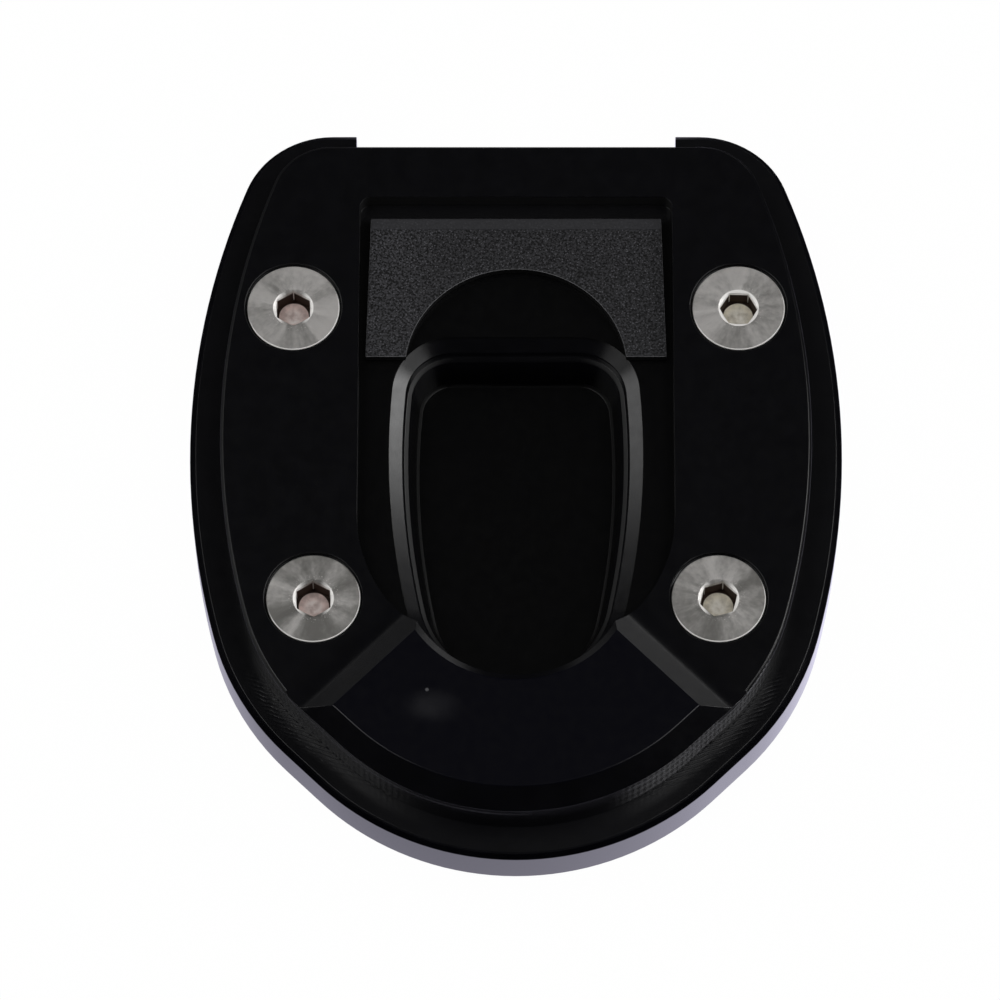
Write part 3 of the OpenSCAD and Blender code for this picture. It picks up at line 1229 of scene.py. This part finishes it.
@dataclass
class Pad:
    """The foam pad: a flat horseshoe of cellular rubber round the rear of the opening."""

    rear_half: float = 18.95
    front_half: float = 19.5
    rear_y: float = 36.9
    length: float = 19.9
    arc_r: float = 14.4
    arc_y: float = 15.2
    along: int = 28
    across: int = 25
    sag: float = 0.03
    sag_waves: Span = (0.9, 0.7)
    soft_edge: float = 0.12
    soft_steps: int = 3
    sharp: float = 50.0
    fill: float = 0.95
    finish: CellRubber = CellRubber()

    def horseshoe(self) -> tuple[np.ndarray, np.ndarray]:
        """Works out the pad's inner and outer lines, from its left foot to its right foot.

        The inner line is the arc about the opening. The outer line runs up the left
        side, along the rear edge and down the right side, with even steps on each.

        Returns:
            Two arrays of points by 2, of one length.
        """
        front_y = self.rear_y - self.length
        right = np.array([[self.rear_half, self.rear_y], [self.front_half, front_y]])
        ends = np.concatenate([(right * [-1.0, 1.0])[::-1], right])
        last = len(ends) - 1
        steps = np.linspace(0.0, last, last * self.along + 1)
        outer = np.stack([np.interp(steps, range(last + 1), line) for line in ends.T], axis=-1)
        low = math.asin((front_y - self.arc_y) / self.arc_r)
        angle = np.interp(steps, [0.0, last], [math.pi - low, low])
        inner = self.arc_r * np.stack([np.cos(angle), np.sin(angle)], axis=-1)
        inner[:, 1] += self.arc_y
        inner[0, 1] = inner[-1, 1] = front_y
        return inner, outer

    def rings(self) -> np.ndarray:
        """Works out the pad's surface: each ring runs over the top and back below.

        Across the pad the rings are straight blends of its two lines. The top sags by a
        few hundredths between them: a product of two sines that fades at both lines.

        Returns:
            Points as rings by points round by 3.
        """
        inner, outer = self.horseshoe()
        share = np.linspace(0.0, 1.0, self.across)[None, :, None]
        level = (1.0 - share) * inner[:, None] + share * outer[:, None]
        waves = level * np.array(self.sag_waves)
        sag = self.sag * np.sin(waves[..., 0]) * np.sin(waves[..., 1] + 1.0)
        fade = np.sin(math.pi * share[..., 0]) ** 2
        top_z = (LEVELS.pad - LEVELS.ledge + sag * fade)[..., None]
        top = np.concatenate([level, top_z], axis=-1)
        below = np.concatenate([level[:, ::-1], np.zeros_like(top_z)], axis=-1)
        return np.concatenate([top, below], axis=1) + np.array([0.0, 0.0, LEVELS.ledge])

    def build(self) -> None:
        """Builds the pad, closes its two feet and softens its edges."""
        thing = shell("Foam_Pad", self.rings())
        work = bmesh.new()
        work.from_mesh(thing.data)
        bmesh.ops.holes_fill(work, edges=work.edges, sides=0)
        bmesh.ops.recalc_face_normals(work, faces=work.faces)
        work.to_mesh(thing.data)
        work.free()
        edge = break_edges(thing, self.soft_edge, self.soft_steps, "ANGLE")
        edge.angle_limit = math.radians(self.sharp)
        finish_piece(thing, self.finish.build(), Part.PAD)


# Studio


@dataclass
class Softbox:
    """One rectangular lamp that faces the object.

    The azimuth is counted from the right-hand side towards the rear. Azimuth, elevation
    and both spans are in degrees, seen from the part, and the distance is in metres.
    """

    name: str
    azimuth: float
    elevation: float
    wide: float
    high: float
    radiance: float
    distance: float = 1.3

    def build(self) -> None:
        """Builds the lamp, turned towards the part.

        Its power is four times its radiance times its area.
        """
        lamp = bpy.data.lights.new(self.name, "AREA")
        lamp.shape = "RECTANGLE"
        lamp.size = 2.0 * self.distance * math.tan(math.radians(self.wide / 2.0))
        lamp.size_y = 2.0 * self.distance * math.tan(math.radians(self.high / 2.0))
        lamp.energy = self.radiance * 4.0 * lamp.size * lamp.size_y
        azimuth, elevation = math.radians(self.azimuth), math.radians(self.elevation)
        level, up = self.distance * math.cos(elevation), self.distance * math.sin(elevation)
        thing = placed(self.name, lamp)
        thing.location = (level * math.cos(azimuth), level * math.sin(azimuth), up)
        thing.rotation_euler = (math.pi / 2.0 - elevation, 0.0, azimuth + math.pi / 2.0)


@dataclass
class Studio:
    """Table, lamps, surroundings and camera, none of them part of the object.

    Lengths are metres, but for the lens and the sensor. The room is what reflections show
    above the table, brighter towards the rear.
    """

    table: float = 6.0
    table_z: float = -0.00002
    elevation: float = 66.0
    distance: float = 0.85
    target: Colour = (0.0, -0.00137, 0.006)
    lens: float = 237.15
    sensor: float = 36.0
    shift: float = -0.016
    clip: Span = (0.01, 20.0)
    room: float = 0.017
    room_rise: Span = (-0.7, 0.2)
    room_light: float = 0.8
    softboxes: tuple[Softbox, ...] = (
        Softbox("Right_Softbox", 10.5, 22.5, 33.0, 17.0, 2.9),
        Softbox("Right_Rear_Softbox", 64.0, 5.0, 20.0, 8.0, 0.52),
        Softbox("Right_High_Softbox", -26.0, 38.0, 30.0, 10.0, 0.8),
        Softbox("Left_Softbox", 168.5, 22.5, 33.0, 17.0, 1.2),
        Softbox("Left_Rear_Softbox", 116.0, 5.0, 20.0, 8.0, 0.15),
        Softbox("Left_High_Softbox", 206.0, 38.0, 30.0, 10.0, 0.4),
        Softbox("Right_Top_Softbox", 0.0, 62.0, 26.0, 20.0, 1.2),
        Softbox("Left_Top_Softbox", 180.0, 62.0, 26.0, 20.0, 1.2),
    )

    def lay_table(self) -> None:
        """Builds the table, a hair below the ground plane that the part stands on."""
        half, low = self.table / 2.0, self.table_z
        ends = [(-half, -half, low), (half, -half, low), (half, half, low), (-half, half, low)]
        mesh = bpy.data.meshes.new("Table")
        mesh.from_pydata(ends, [], [(0, 1, 2, 3)])
        mesh.materials.append(WhiteTable().build())
        placed("Table", mesh)

    def light_room(self) -> None:
        """White for the camera, dark above in reflections, and a soft even light."""
        world = bpy.data.worlds.new("Studio")
        world.use_nodes = True
        bpy.context.scene.world = world
        shop = Shop(world.node_tree)
        path = shop.node("ShaderNodeLightPath").outputs
        camera, glossy = Term(shop, path["Is Camera Ray"]), Term(shop, path["Is Glossy Ray"])
        _, back, _ = shop.split(shop.node("ShaderNodeTexCoord").outputs["Generated"])
        mirrored = back.step(*self.room_rise) * self.room
        level = camera + glossy * mirrored + (1.0 - camera - glossy) * self.room_light
        sky = shop.node("ShaderNodeBackground", None, {"Strength": level})
        shop.node("ShaderNodeOutputWorld", None, {"Surface": sky.outputs[0]})

    def set_camera(self) -> None:
        """Places the camera at the photograph's viewing angle."""
        camera = bpy.data.cameras.new("Camera")
        camera.lens, camera.sensor_width, camera.shift_x = self.lens, self.sensor, self.shift
        camera.clip_start, camera.clip_end = self.clip
        tilt = math.radians(self.elevation)
        x, y, z = self.target
        back, up = self.distance * math.cos(tilt), self.distance * math.sin(tilt)
        thing = placed("Camera", camera)
        thing.location = (x, y - back, z + up)
        thing.rotation_euler = (math.pi / 2.0 - tilt, 0.0, 0.0)
        bpy.context.scene.camera = thing

    def build(self) -> None:
        """Builds the whole studio."""
        bpy.context.scene.view_settings.view_transform = "Standard"
        self.lay_table()
        self.light_room()
        for softbox in self.softboxes:
            softbox.build()
        self.set_camera()


def main() -> None:
    """Builds the pieces and the studio."""
    logging.basicConfig(level=logging.INFO, format="%(message)s")
    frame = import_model()
    Plates().build(frame["nodes"])
    Pad().build()
    Screws().build(frame["nodes"])
    Studio().build()
    bpy.context.view_layer.update()


if __name__ == "__main__":
    main()
